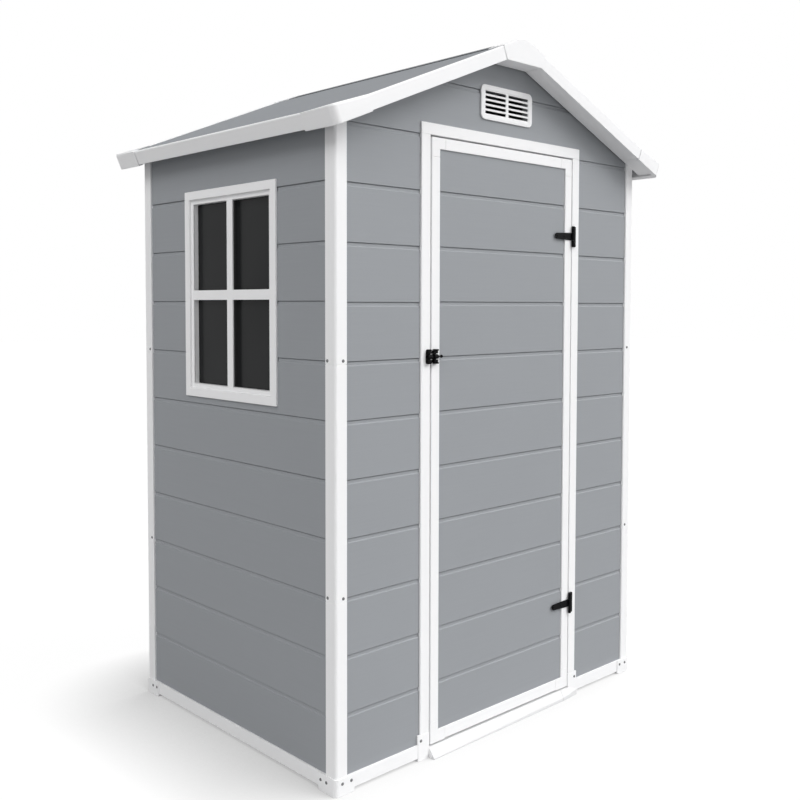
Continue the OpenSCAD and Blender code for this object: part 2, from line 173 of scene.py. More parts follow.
# %% The floor
floor_mesh = bmesh.new()
bmesh.ops.create_grid(floor_mesh, x_segments=1, y_segments=1, size=30)
floor_data = bpy.data.meshes.new("studio_floor")
floor_mesh.to_mesh(floor_data)
floor_mesh.free()
studio_floor = bpy.data.objects.new("studio_floor", floor_data)
scene.collection.objects.link(studio_floor)

near_shadow_reach = 0.36
darkest_glow, full_glow = 0.17, 0.97
paper = bpy.data.materials.new("white studio paper")
tree = empty_tree(paper)
matt, seen_matt = [add_node(tree, "ShaderNodeBsdfDiffuse", values={"Color": linear(colour)})
                   for colour in ("#B4B4B4", "#484848")]
lean_right = add_node(tree, "ShaderNodeCombineXYZ", values={"X": 0.5, "Y": -0.75, "Z": 0.43})
near_shadow = add_node(tree, "ShaderNodeAmbientOcclusion", {"samples": 16},
                       {"Distance": near_shadow_reach}, {"Normal": lean_right.outputs[0]})
glow_strength = add_node(tree, "ShaderNodeMapRange",
                         values={"From Min": 0.05, "To Min": darkest_glow, "To Max": full_glow},
                         links={"Value": near_shadow.outputs["AO"]})
glow = add_node(tree, "ShaderNodeEmission", values={"Color": (1, 1, 1, 1)},
                links={"Strength": glow_strength.outputs[0]})
seen = add_node(tree, "ShaderNodeAddShader", links={0: seen_matt.outputs[0], 1: glow.outputs[0]})
surface = add_node(tree, "ShaderNodeMixShader",
                   links={0: light_path_shows(tree), 1: matt.outputs[0], 2: seen.outputs[0]})
add_node(tree, "ShaderNodeOutputMaterial", links={"Surface": surface.outputs[0]})
floor_data.materials.append(paper)

# %% [markdown]
# ## Finishes
#
# All the plastic is polypropylene, injection or blow moulded and coloured right through. It has no
# grain of its own, but flow in the mould leaves long faint streaks, and the steel of the mould leaves a
# fine satin texture. So each plastic is a plain colour with two noises on it: one stretched along
# the boards, for the streaks, and one fine and even, for the texture.

# %% Moulded plastic
def moulded_plastic(name, colour, streak, roughness, texture_mm, texture_depth_mm, specular=0.2):
    """Coloured polypropylene. Streak is how far the flow lines lighten and darken the colour."""
    material = bpy.data.materials.new(name)
    tree = empty_tree(material)
    place = add_node(tree, "ShaderNodeTexCoord").outputs["Object"]
    flow_length_mm, flow_height_mm = 220, 4
    flow_scale = (1 / (flow_length_mm * mm), 1 / (flow_length_mm * mm), 1 / (flow_height_mm * mm))
    along = add_node(tree, "ShaderNodeMapping", values={"Scale": flow_scale}, links={"Vector": place})
    streaks = add_node(tree, "ShaderNodeTexNoise", values={"Scale": 1.0, "Detail": 3.0, "Roughness": 0.6},
                       links={"Vector": along.outputs[0]})
    clouds = add_node(tree, "ShaderNodeTexNoise", values={"Scale": 1 / (260 * mm), "Detail": 2.0},
                      links={"Vector": place})
    half_clouds = add_node(tree, "ShaderNodeMath", {"operation": "MULTIPLY"}, {1: 0.5},
                           {0: clouds.outputs["Fac"]})
    pattern = add_node(tree, "ShaderNodeMath", {"operation": "MULTIPLY_ADD"}, {1: 0.5},
                       {0: streaks.outputs["Fac"], 2: half_clouds.outputs[0]})
    tones = add_node(tree, "ShaderNodeValToRGB", links={"Fac": pattern.outputs[0]})
    set_tones(tones, (0.3, 0.7), shades(colour, 1 - streak, 1 + streak))
    texture = add_node(tree, "ShaderNodeTexNoise",
                       values={"Scale": 1 / (texture_mm * mm), "Detail": 2.0, "Roughness": 0.6},
                       links={"Vector": place})
    relief = add_node(tree, "ShaderNodeBump", values={"Strength": 1.0, "Distance": texture_depth_mm * mm},
                      links={"Height": texture.outputs["Fac"]})
    shine = add_node(tree, "ShaderNodeMapRange",
                     values={"To Min": roughness - 0.05, "To Max": roughness + 0.05},
                     links={"Value": clouds.outputs["Fac"]})
    skin = add_node(tree, "ShaderNodeBsdfPrincipled", values={"IOR": 1.49, "Specular IOR Level": specular},
                    links={"Base Color": tones.outputs["Color"], "Roughness": shine.outputs[0],
                           "Normal": relief.outputs[0]})
    add_node(tree, "ShaderNodeOutputMaterial", links={"Surface": skin.outputs[0]})
    return material


finishes = {
    # Slate grey polypropylene, blow moulded into twin walled boards: satin, slightly streaked
    "grey_panel": moulded_plastic("slate grey moulded polypropylene", "#979A9E", 0.02, 0.55, 6, 0.05),
    # The roof is the same plastic from another mould, rougher and with less shine
    "roof_panel": moulded_plastic("roof grey moulded polypropylene", "#96999D", 0.02, 0.8, 5, 0.08, 0.06),
    # White polypropylene with titanium dioxide: bright and evenly satin
    "white_trim": moulded_plastic("white moulded polypropylene", "#F4F4F5", 0.006, 0.5, 8, 0.03),
    # Charcoal polypropylene of the ridge
    "dark_cap": moulded_plastic("charcoal moulded polypropylene", "#44484C", 0.03, 0.5, 5, 0.05),
    # The floor has a coarse non slip texture
    "floor_panel": moulded_plastic("grey textured floor polypropylene", "#8A8D91", 0.03, 0.6, 12, 0.6),
}
# Painted shade: the trim's white made darker than #F4F4F5, only to lower the brightness of the sill and ramp.
# It is also matt. The real ones aren't known to be greyer
shaded_sill_plastic = moulded_plastic("white matt moulded polypropylene with painted shade", "#E0E0E1", 0.006, 0.7, 8, 0.05, 0.1)
print("plastics", sorted(finishes))

# %% [markdown]
# The hinges and the latch are steel with a black powder coat. The powder melts into a film with a
# faint orange peel and little shine. The screws are zinc plated steel, left bare, which is why they
# look mid grey. Both are one colour with a fine bump, so one function makes them.

# %% Coated and plated steel
def fine_finish(name, colour, metallic, roughness, grain_mm, depth_mm, specular=0.5):
    """A hard film or plating: one colour, slightly mottled, with a fine grain."""
    material = bpy.data.materials.new(name)
    tree = empty_tree(material)
    place = add_node(tree, "ShaderNodeTexCoord").outputs["Object"]
    grain = add_node(tree, "ShaderNodeTexNoise", values={"Scale": 1 / (grain_mm * mm), "Detail": 2.0},
                     links={"Vector": place})
    tones = add_node(tree, "ShaderNodeValToRGB", links={"Fac": grain.outputs["Fac"]})
    set_tones(tones, (0.3, 0.7), shades(colour, 0.85, 1.15))
    relief = add_node(tree, "ShaderNodeBump", values={"Strength": 1.0, "Distance": depth_mm * mm},
                      links={"Height": grain.outputs["Fac"]})
    skin = add_node(tree, "ShaderNodeBsdfPrincipled",
                    values={"Metallic": metallic, "Roughness": roughness, "Specular IOR Level": specular},
                    links={"Base Color": tones.outputs["Color"], "Normal": relief.outputs[0]})
    add_node(tree, "ShaderNodeOutputMaterial", links={"Surface": skin.outputs[0]})
    return material


# Polyester powder coat, baked on: grains about 0.8 mm across once melted, very shallow
finishes["black_hardware"] = fine_finish("black powder coated steel", "#08080A", 0.0, 0.42, 0.8, 0.02, 0.05)
# Zinc plate, matt and grey
zinc = fine_finish("zinc plated steel", "#6E6F70", 0.7, 0.5, 0.6, 0.02)

# %% [markdown]
# The window panes are an opaque dark sheet. Its colour is painted shade that stands for the dark room behind
# clear acrylic, mottled a little, and it shows only a weak reflection of the studio.

# %% Acrylic pane with painted room shade
acrylic = bpy.data.materials.new("acrylic pane with painted room shade")
tree = empty_tree(acrylic)
where = add_node(tree, "ShaderNodeTexCoord").outputs["Object"]
painted_shade_mottle = add_node(tree, "ShaderNodeTexNoise", values={"Scale": 1 / (300 * mm), "Detail": 1.0},
                links={"Vector": where})
# Two dark tones of painted shade, for the room behind the pane
painted_room_shade = add_node(tree, "ShaderNodeValToRGB", links={"Fac": painted_shade_mottle.outputs["Fac"]})
set_tones(painted_room_shade, (0.35, 0.65), (linear("#1D1E1F"), linear("#232425")))
sheet = add_node(tree, "ShaderNodeBsdfPrincipled",
                 values={"Roughness": 0.22, "IOR": 1.49, "Specular IOR Level": 0.1},
                 links={"Base Color": painted_room_shade.outputs["Color"]})
add_node(tree, "ShaderNodeOutputMaterial", links={"Surface": sheet.outputs[0]})
finishes["window_pane"] = acrylic

# %% [markdown]
# ## Modelling helpers
#
# Then its edges are rounded, because no moulded edge is sharp and the rounding is what catches the light. One
# function turns a finished mesh into a piece: it points the faces outwards, smooths the roundings but not the
# corners, and hides the parts of the construction model that the piece stands for.

# %% Boxes, slabs, cuts and rounded edges
def add_box(bm, low, high):
    """A box between two corners. Returns its vertices."""
    low, high = Vector(low), Vector(high)
    place = Matrix.Translation((low + high) / 2) @ Matrix.Diagonal((*(high - low), 1))
    return bmesh.ops.create_cube(bm, size=1, matrix=place)["verts"]


def extrude(bm, faces, step):
    """Extrudes faces by a step."""
    made = bmesh.ops.extrude_face_region(bm, geom=faces)["geom"]
    far = [g for g in made if isinstance(g, bmesh.types.BMVert)]
    bmesh.ops.translate(bm, verts=far, vec=step)


def add_slab(bm, outline, axis, start, end):
    """A flat outline extruded along an axis: the outline is in X and Z for Y, in X and Y for Z."""
    near = [bm.verts.new((a, start, b) if axis == "Y" else (a, b, start)) for a, b in outline]
    extrude(bm, [bm.faces.new(near)], Vector([(end - start) * (a == axis) for a in "XYZ"]))


def edges_within(verts):
    """The edges whose two ends are both among these vertices."""
    verts = set(verts)
    return list({e for v in verts for e in v.link_edges if e.other_vert(v) in verts})


def round_edges(bm, edges, radius, segments=2):
    """Rounds edges to a radius."""
    return bmesh.ops.bevel(bm, geom=list(edges), offset=radius, offset_type="OFFSET", affect="EDGES",
                           segments=segments, profile=0.5, material=-1, clamp_overlap=True)


def edge_is(edge, axis, **at):
    """True for an edge along an axis that lies at the given coordinates, such as x=0.3."""
    a, b = edge.verts[0].co, edge.verts[1].co
    along = (b - a).normalized()
    if abs(along["XYZ".index(axis)]) < 0.99:
        return False
    return all(abs((a["xyz".index(k)] + b["xyz".index(k)]) / 2 - v) < 1e-5 for k, v in at.items())


def edges_at(bm, axis, **at):
    """The edges along an axis that lie at the given coordinates."""
    return [e for e in bm.edges if edge_is(e, axis, **at)]


def eased_box(low, high, radius):
    """A box as a mesh of its own, with all its edges rounded."""
    bm = bmesh.new()
    add_box(bm, low, high)
    round_edges(bm, bm.edges, radius)
    return bm


def cut(bm, point, normal, keep_below=False):
    """Cuts the mesh along a plane. With keep_below, what is above is removed and the cut is closed."""
    everything = bm.verts[:] + bm.edges[:] + bm.faces[:]
    bmesh.ops.bisect_plane(bm, geom=everything, dist=1e-7, plane_co=point, plane_no=normal,
                           clear_outer=keep_below)
    if keep_below:
        bmesh.ops.holes_fill(bm, edges=[e for e in bm.edges if e.is_boundary], sides=0)


def add_mirror_image(bm, axis):
    """Copies everything in the mesh to the other side of the shed's middle."""
    everything = bm.verts[:] + bm.edges[:] + bm.faces[:]
    bmesh.ops.mirror(bm, geom=everything, merge_dist=0, axis=axis)


def flip(bm, x=1, y=1):
    """Moves the whole mesh to another side of the shed, turned inside out until its normals are redone."""
    bmesh.ops.scale(bm, vec=(x, y, 1), verts=bm.verts)


def turn_left(bm):
    """Turns a mesh that faces forward, to -Y, so that it faces left, to -X."""
    bmesh.ops.rotate(bm, verts=bm.verts, matrix=Matrix.Rotation(-math.pi / 2, 3, "Z"))


def corners_of(bm, least_degrees=60):
    """The edges where two faces meet at a sharp corner."""
    bm.normal_update()
    least = math.radians(least_degrees)
    return [e for e in bm.edges if len(e.link_faces) == 2 and e.calc_face_angle() > least]


def put_in(bm, part):
    """Adds a part's mesh to another mesh, and frees it."""
    shape = bpy.data.meshes.new("part")
    part.to_mesh(shape)
    part.free()
    bm.from_mesh(shape)
    bpy.data.meshes.remove(shape)


# %% Turn a mesh into a piece
sharp_from = math.radians(35)
piece_count = 0


def add_piece(name, bm, slot, *nodes, body="shed", material=None):
    """Makes a piece of the shed from a mesh. It rides on a body and stands for the named nodes."""
    global piece_count
    bmesh.ops.recalc_face_normals(bm, faces=bm.faces)
    mesh = bpy.data.meshes.new(name)
    bm.to_mesh(mesh)
    bm.free()
    mesh.shade_smooth()
    mesh.set_sharp_from_angle(angle=sharp_from)
    mesh.materials.append(material or finishes[slot])
    piece = bpy.data.objects.new(name, mesh)
    scene.collection.objects.link(piece)
    even = piece.modifiers.new("even shading", "WEIGHTED_NORMAL")
    even.keep_sharp = True
    even.weight = 100
    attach(piece, body)
    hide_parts(*nodes)
    piece_count += 1
    print(f"{name}: {len(mesh.polygons)} faces on {body}")
    return piece


# %% [markdown]
# ## Boarded wall panels
#
# A wall panel is one moulding that imitates stacked boards 150 mm high. Where two boards meet, the
# upper one ends in a sharp shadow line and the lower one begins with a shallow band and a small
# sloping edge that catches the light. The panel starts as a box. Level cuts are made at every change
# of the profile, and then the cut lines on the outer face are pushed in to their depth. At its ends
# each shadow line has a small pocket behind the face, which stays closed in front of it.

# %% The board profile
board_line_profile = ((0.0, 0.0), (0.3, 4.5), (1.3, 4.5), (2.4, 2.6), (9.8, 2.4), (12.4, 0.0))
profile_height = board_line_profile[-1][0] * mm
end_rim = 1.2 * mm
end_drop = 4 * mm
notch_width = 3 * mm


def board_lines(first, pitch):
    """Heights of the lines between boards, up the whole wall."""
    return [(first + n * pitch) * mm for n in range(12)]


front_lines = board_lines(205.5, 150)
side_lines = board_lines(202.5, 150.8)
print("front lines at", [round(z, 3) for z in front_lines[:3]], "...")

# %% A panel facing forward
def boarded_panel(left, right, bottom, top, face, thickness, lines, notch_depth, hole=None, trim=None,
                  rim_tops=None):
    """A boarded panel that faces -Y. Hole and trim are (x0, x1, z0, z1) boxes: an opening through
    the panel, and an applied trim beside which the shadow lines have notches too. Above its rim
    top, the left or the right end is plain, because the moulding runs on past it."""
    left_rim, right_rim = rim_tops or (top, top)
    bm = bmesh.new()
    add_box(bm, (left, face, bottom), (right, face + thickness, top))
    depth_at = {}
    for line in lines:
        for drop, depth in board_line_profile:
            z = line - drop * mm
            if bottom + end_rim < z < top - end_rim:
                cut(bm, (0, 0, z), (0, 0, 1))
                depth_at[z] = depth * mm
    notches = [(left + end_rim, left + end_rim + notch_width, bottom, left_rim),
               (right - end_rim - notch_width, right - end_rim, bottom, right_rim)]
    for rim in {left_rim, right_rim} - {bottom, top}:
        cut(bm, (0, 0, rim), (0, 0, 1))
        cut(bm, (0, 0, rim + end_rim), (0, 0, 1))
    if trim:
        notches.append((trim[0] - notch_width, trim[0], trim[2], trim[3]))
        notches.append((trim[1], trim[1] + notch_width, trim[2], trim[3]))
    for x in {x for notch in notches for x in notch[:2]} | set(hole[:2] if hole else ()):
        cut(bm, (x, 0, 0), (1, 0, 0))
    for z in hole[2:] if hole else ():
        cut(bm, (0, 0, z), (0, 0, 1))

    def is_notch(f):
        c = f.calc_center_median()
        in_line = any(line - profile_height < c.z < line for line in lines)
        return in_line and abs(c.y - face) < 1e-6 and any(
            x0 < c.x < x1 and z0 < c.z < z1 for x0, x1, z0, z1 in notches)

    # The wall's own face stays in front of each notch, so the notches are closed off and don't show
    extrude(bm, [f for f in bm.faces if is_notch(f)], (0, notch_depth, 0))
    for v in bm.verts:
        if abs(v.co.y - face) < 1e-6:
            depth = next((d for z, d in depth_at.items() if abs(z - v.co.z) < 1e-6), 0)
            at_left = v.co.x - left < 1e-6 and bottom < left_rim and v.co.z < left_rim + 1e-6
            at_right = right - v.co.x < 1e-6 and bottom < right_rim and v.co.z < right_rim + 1e-6
            if at_left or at_right:
                depth = max(depth, end_drop)
            v.co.y += depth
    if hole:
        def in_hole(f):
            c = f.calc_center_median()
            return hole[0] < c.x < hole[1] and hole[2] < c.z < hole[3]
        bmesh.ops.delete(bm, geom=[f for f in bm.faces if in_hole(f)], context="FACES")
        bmesh.ops.bridge_loops(bm, edges=[e for e in bm.edges if e.is_boundary])
    return bm


# %% The roof's slope, which cuts the panels and posts off at the top
roof_pitch = math.radians(22.55)
fall = math.tan(roof_pitch)
roof_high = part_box("roof_left")[1]
panel_thickness = 21.5 * mm
panel_level = roof_high.z - fall * roof_high.x
panel_under_level = panel_level - panel_thickness
seat_gap = 0.2 * mm


def trim_under_roof(bm, top):
    """Cuts the mesh off just below the roof panels, and at a level top under the ridge."""
    for side in (-1, 1):
        cut(bm, (0, 0, panel_under_level - seat_gap), (side * fall, 0, 1), keep_below=True)
    if max(v.co.z for v in bm.verts) > top + 1e-6:
        cut(bm, (0, 0, top), (0, 0, 1), keep_below=True)


print("slopes meet at", round(panel_level, 4), "above and", round(panel_under_level, 4), "below")

# %% Walls to the front and the back
wall_notch = 12 * mm
header_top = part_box("door_header")[1].z
for node, piece_name, plain_side in (("wall_front_left", "boards_front_left", 1),
                                     ("wall_front_right", "boards_front_right", -1)):
    low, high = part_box(node)
    rim_tops = (high.z, header_top) if plain_side > 0 else (header_top, high.z)
    wall = boarded_panel(low.x, high.x, low.z, high.z, low.y, high.y - low.y, front_lines, wall_notch,
                         rim_tops=rim_tops)
    trim_under_roof(wall, high.z)
    add_piece(piece_name, wall, "grey_panel", node)

low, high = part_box("gable_front")
vent_low, vent_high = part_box("gable_vent")
vent_middle = (vent_low.z + vent_high.z) / 2
vent_hole = (-93 * mm, 93 * mm, vent_middle - 35 * mm, vent_middle + 35 * mm)
wall = boarded_panel(low.x, high.x, low.z, high.z, low.y, high.y - low.y, front_lines, wall_notch, vent_hole,
                     rim_tops=(low.z, low.z))
trim_under_roof(wall, high.z)
add_piece("boards_gable", wall, "grey_panel", "gable_front")

low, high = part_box("wall_back")
wall = boarded_panel(low.x, high.x, low.z, high.z, -high.y, high.y - low.y, front_lines, wall_notch)
flip(wall, y=-1)
trim_under_roof(wall, high.z)
add_piece("boards_back", wall, "grey_panel", "wall_back")

# %% Walls to the left and the right, modelled facing forward and turned
low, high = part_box("wall_left")
window_low, window_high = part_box("window_frame")
sash_lap = 4 * mm
trim_w = 25 * mm
window_hole = (window_low.y + trim_w - sash_lap, window_high.y - trim_w + sash_lap,
               window_low.z + trim_w - sash_lap, window_high.z - trim_w + sash_lap)
window_trim_area = (window_low.y, window_high.y, window_low.z, window_high.z)
for node, piece_name, side in (("wall_left", "boards_left", -1), ("wall_right", "boards_right", 1)):
    hole, trim = (window_hole, window_trim_area) if side < 0 else (None, None)
    wall = boarded_panel(low.y, high.y, low.z, high.z, low.x, high.x - low.x, side_lines, wall_notch,
                         hole, trim)
    turn_left(wall)
    flip(wall, x=-side)
    trim_under_roof(wall, high.z)
    add_piece(piece_name, wall, "grey_panel", node)

# %% [markdown]
# ## Corner posts
#
# Each post is a hollow white moulding in three lengths that plug into each other, held by a screw
# at each joint. Its outer corner is well rounded. The post is a box with that one edge rounded and
# the others eased, and each joint is a ring of cuts whose middle one is drawn in by half a millimetre.

# %% Posts
post_low, post_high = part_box("post_front_left")
half_w, half_d = -post_low.x, -post_low.y
post_radius = 8 * mm
eased = 1.5 * mm
joint_heights = (496 * mm, 1098 * mm)
joint_half_height = 0.8 * mm
joint_depth = 0.7 * mm


def corner_post():
    """The front left post."""
    bm = bmesh.new()
    add_box(bm, post_low, post_high)
    round_edges(bm, edges_at(bm, "Z", x=post_low.x, y=post_low.y), post_radius, 5)
    seams = [e for e in bm.edges if edge_is(e, "Z", x=post_high.x, y=post_low.y)
             or edge_is(e, "Z", x=post_low.x, y=post_high.y)]
    round_edges(bm, seams, eased)
    middle = (post_low + post_high) / 2
    shrink = 1 - joint_depth / (post_high.x - middle.x)
    for z in joint_heights:
        for level in (z - joint_half_height, z, z + joint_half_height):
            cut(bm, (0, 0, level), (0, 0, 1))
        ring = [v for v in bm.verts if abs(v.co.z - z) < 1e-6]
        bmesh.ops.scale(bm, vec=(shrink, shrink, 1), verts=ring, space=Matrix.Translation(-middle))
    trim_under_roof(bm, post_high.z)
    return bm


for node, piece_name, x, y in (("post_front_left", "corner_post_front_left", 1, 1),
                               ("post_front_right", "corner_post_front_right", -1, 1),
                               ("post_back_left", "corner_post_back_left", 1, -1),
                               ("post_back_right", "corner_post_back_right", -1, -1)):
    post = corner_post()
    flip(post, x, y)
    add_piece(piece_name, post, "white_trim", node)

# %% [markdown]
# ## The base
#
# White rails run round the floor between corner feet. They stand 9 mm off the ground, so that water
# runs out beneath them. A foot is an angle of two arms, a few millimetres proud of the post, with a
# rounded corner and arm ends whose lower edge is cut back.

# %% Base rails
rail_edge = 1.2 * mm
rail_low, rail_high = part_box("base_rails_front")
shoe_low, shoe_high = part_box("jamb_feet")
side_low, side_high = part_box("base_rails_side")
rail_depth = rail_high.y - rail_low.y
for node, piece_name, low, high in (
        ("base_rails_front", "rails_front", rail_low, (shoe_low.x, rail_high.y, rail_high.z)),
        ("base_rails_side", "rails_side", side_low, (side_low.x + rail_depth, side_high.y, side_high.z))):
    rails = eased_box(low, high, rail_edge)
    add_mirror_image(rails, "X")
    add_piece(piece_name, rails, "white_trim", node)
add_piece("rail_back", eased_box(*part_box("base_rail_back"), rail_edge), "white_trim", "base_rail_back")

# %% Corner feet
foot_low, foot_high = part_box("corner_feet_front")
foot_end_x = rail_low.x
foot_end_y = foot_high.y
foot_corner = 11 * mm
foot_cut_back = 6 * mm


def corner_foot():
    """The front left foot."""
    bm = bmesh.new()
    inner_x, inner_y = side_low.x + rail_depth, rail_high.y
    add_slab(bm, [(foot_low.x, foot_low.y), (foot_end_x, foot_low.y), (foot_end_x, inner_y),
                  (inner_x, inner_y), (inner_x, foot_end_y), (foot_low.x, foot_end_y)],
             "Z", foot_low.z, foot_high.z)
    round_edges(bm, edges_at(bm, "Z", x=foot_low.x, y=foot_low.y), foot_corner, 6)
    lower_ends = [e for e in bm.edges if edge_is(e, "Y", x=foot_end_x, z=foot_low.z)
                  or edge_is(e, "X", y=foot_end_y, z=foot_low.z)]
    round_edges(bm, lower_ends, foot_cut_back, 3)
    round_edges(bm, corners_of(bm), 1.4 * mm)
    return bm


for node, piece_name, y in (("corner_feet_front", "feet_front", 1), ("corner_feet_back", "feet_back", -1)):
    foot = corner_foot()
    add_mirror_image(foot, "X")
    flip(foot, 1, y)
    add_piece(piece_name, foot, "white_trim", node)

# %% [markdown]
# ## Door frame and sill
#
# Two jambs and a header of the same white board frame the doorway. Each jamb plugs into a shoe on
# the ground, whose plate has a small ear lying on the wall panel. Between the shoes lies the sill,
# with a ramp in front that lets a barrow in. The ramp is two mouldings that meet near its right end.

# %% Jambs and header
board_edge = 1.2 * mm
for node, piece_name in (("jamb_left", "jamb_board_left"), ("jamb_right", "jamb_board_right"),
                         ("door_header", "header_board")):
    add_piece(piece_name, eased_box(*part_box(node), board_edge), "white_trim", node)

# %% Shoes of the jambs
jamb_low, jamb_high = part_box("jamb_left")
shoe_lip = 1 * mm
plate_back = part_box("wall_front_left")[0].y
shoes = bmesh.new()
plate = add_box(shoes, shoe_low, (jamb_high.x + shoe_lip, plate_back, shoe_high.z))
round_edges(shoes, edges_within(plate), 1 * mm)
inset = 0.3 * mm
add_slab(shoes, [(shoe_low.x + inset, 0), (jamb_high.x - inset, 0),
                 (jamb_high.x - inset, shoe_high.z - inset), (jamb_low.x + inset, shoe_high.z - inset),
                 (jamb_low.x + inset, rail_high.z), (shoe_low.x + inset, rail_high.z)],
         "Y", plate_back - inset, shoe_high.y)
add_mirror_image(shoes, "X")
add_piece("jamb_shoes", shoes, "white_trim", "jamb_feet")

# %% Sill and ramp
sill_low, sill_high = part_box("door_sill")
open_half = -jamb_high.x
ramp_reach = -half_d - sill_low.y
ramp_taper = 12 * mm
ramp_flare = 34 * mm
ramp_lip = 3 * mm
ramp_joint = 276 * mm
ramp_joint_lean = 0.35
joint_gap = 1 * mm


def ramp():
    """The ramp as one closed block: a plan outline with its top cut to the slope."""
    bm = bmesh.new()
    front = -half_d - ramp_reach
    add_slab(bm, [(-open_half, -half_d), (-open_half, front),
                  (open_half - ramp_flare, front + ramp_taper / 2),
                  (open_half + ramp_flare, front + ramp_taper),
                  (open_half, -half_d - 1 * mm), (open_half, -half_d)],
             "Z", 0, sill_high.z)
    rise = (sill_high.z - ramp_lip) / ramp_reach
    cut(bm, (0, -half_d, sill_high.z), (0, -rise, 1), keep_below=True)
    return bm


sill = bmesh.new()
add_box(sill, (-open_half, -half_d, 0), (open_half, sill_high.y, sill_high.z))
round_edges(sill, edges_at(sill, "X", z=sill_high.z), 1 * mm)
# The sill and the ramp take the matt white with painted shade
add_piece("sill_block", sill, "white_trim", "door_sill", material=shaded_sill_plastic)
ramp_parts = bmesh.new()
for gap_side in (-1, 1):
    part = ramp()
    normal = Vector((-gap_side, gap_side * ramp_joint_lean, 0))
    cut(part, (ramp_joint + gap_side * joint_gap / 2, -half_d, 0), normal, keep_below=True)
    round_edges(part, corners_of(part, 20), 0.6 * mm, 1)
    put_in(ramp_parts, part)
add_piece("ramp", ramp_parts, "white_trim", "door_sill", material=shaded_sill_plastic)

# %% [markdown]
# ## The window
#
# The window is a fixed one: a flat white trim on the face of the wall, a sash set in the hole behind it, and
# crossed bars that divide one dark pane into four, whose colour is painted shade for the room behind. Trim
# and sash are both rings, so each starts as one flat face in which the openings are cut, and the rest is
# extruded.

# %% A flat face with openings, extruded
def pierced_plate(outside, openings, front, back):
    """A plate that faces -Y, from y = front to back. Outside and openings are (x0, x1, z0, z1)."""
    bm = bmesh.new()
    x0, x1, z0, z1 = outside
    bm.faces.new([bm.verts.new((x, front, z)) for x, z in ((x0, z0), (x1, z0), (x1, z1), (x0, z1))])
    for x in {v for o in openings for v in o[:2]}:
        cut(bm, (x, 0, 0), (1, 0, 0))
    for z in {v for o in openings for v in o[2:]}:
        cut(bm, (0, 0, z), (0, 0, 1))

    def is_open(f):
        c = f.calc_center_median()
        return any(o[0] < c.x < o[1] and o[2] < c.z < o[3] for o in openings)

    bmesh.ops.delete(bm, geom=[f for f in bm.faces if is_open(f)], context="FACES")
    extrude(bm, bm.faces[:], (0, back - front, 0))
    return bm


# %% Trim, sash, bars and panes
bar_half = 14 * mm
bar_depth = 4 * mm
sash_w = 13 * mm
bar_z = (window_low.z + window_high.z) / 2 - 2.6 * mm
glass_low, glass_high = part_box("window_glass")
wall_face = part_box("wall_left")[0].x


def shrunk(area, by):
    """A rectangle (x0, x1, z0, z1) made smaller all round."""
    return (area[0] + by, area[1] - by, area[2] + by, area[3] - by)


trim_inside = shrunk(window_trim_area, trim_w)
pane_area = shrunk(trim_inside, sash_w)
panes = [(x0, x1, z0, z1) for x0, x1 in ((pane_area[0], -bar_half), (bar_half, pane_area[1]))
         for z0, z1 in ((pane_area[2], bar_z - bar_half), (bar_z + bar_half, pane_area[3]))]
window = pierced_plate(window_trim_area, [trim_inside], window_low.x, wall_face)
round_edges(window, corners_of(window), 1.5 * mm)
sash = pierced_plate(window_hole, [pane_area], wall_face, window_high.x)
round_edges(sash, corners_of(sash), 1.0 * mm)
put_in(window, sash)
put_in(window, pierced_plate(shrunk(pane_area, -1 * mm), panes, wall_face + 0.3 * mm, wall_face + bar_depth))
turn_left(window)
add_piece("window_trim_and_bars", window, "white_trim", "window_frame")

glazing = bmesh.new()
x0, x1, z0, z1 = shrunk(pane_area, -0.5 * mm)
add_box(glazing, (x0, glass_low.x, z0), (x1, glass_high.x, z1))
turn_left(glazing)
add_piece("window_panes", glazing, "window_pane", "window_glass")

# %% [markdown]
# ## The gable vent
#
# The vent is a white louvre plate: a rounded rim, and inside it a thinner panel a little further back
# with two columns of slots. The dark roof space shows through the slots, so they are real openings,
# and there is a hole in the wall behind them. The rim is the space between two rounded
# rectangles, bridged and extruded.

# %% Vent
vent_radius = 16 * mm
vent_inner_radius = 3 * mm
vent_rim = 14 * mm
slot_height = 8.5 * mm
slot_pitch = 14 * mm
slot_bar_half = 5.5 * mm
slot_end = 15 * mm
louvre_set_back = 1.2 * mm
louvre_thickness = 2.5 * mm
wall_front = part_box("gable_front")[0].y
vent_front = wall_front - 5 * mm


def add_rounded_outline(bm, area, radius, y):
    """The outline of a rectangle (x0, x1, z0, z1) with rounded corners. Returns its edges."""
    x0, x1, z0, z1 = area
    corners = [bm.verts.new((x, y, z)) for x, z in ((x0, z0), (x1, z0), (x1, z1), (x0, z1))]
    bm.faces.new(corners)
    made = bmesh.ops.bevel(bm, geom=corners, offset=radius, offset_type="OFFSET", affect="VERTICES",
                           segments=6, profile=0.5, material=-1)
    face = made["verts"][0].link_faces[0]
    outline = list(face.edges)
    bmesh.ops.delete(bm, geom=[face], context="FACES_ONLY")
    return outline


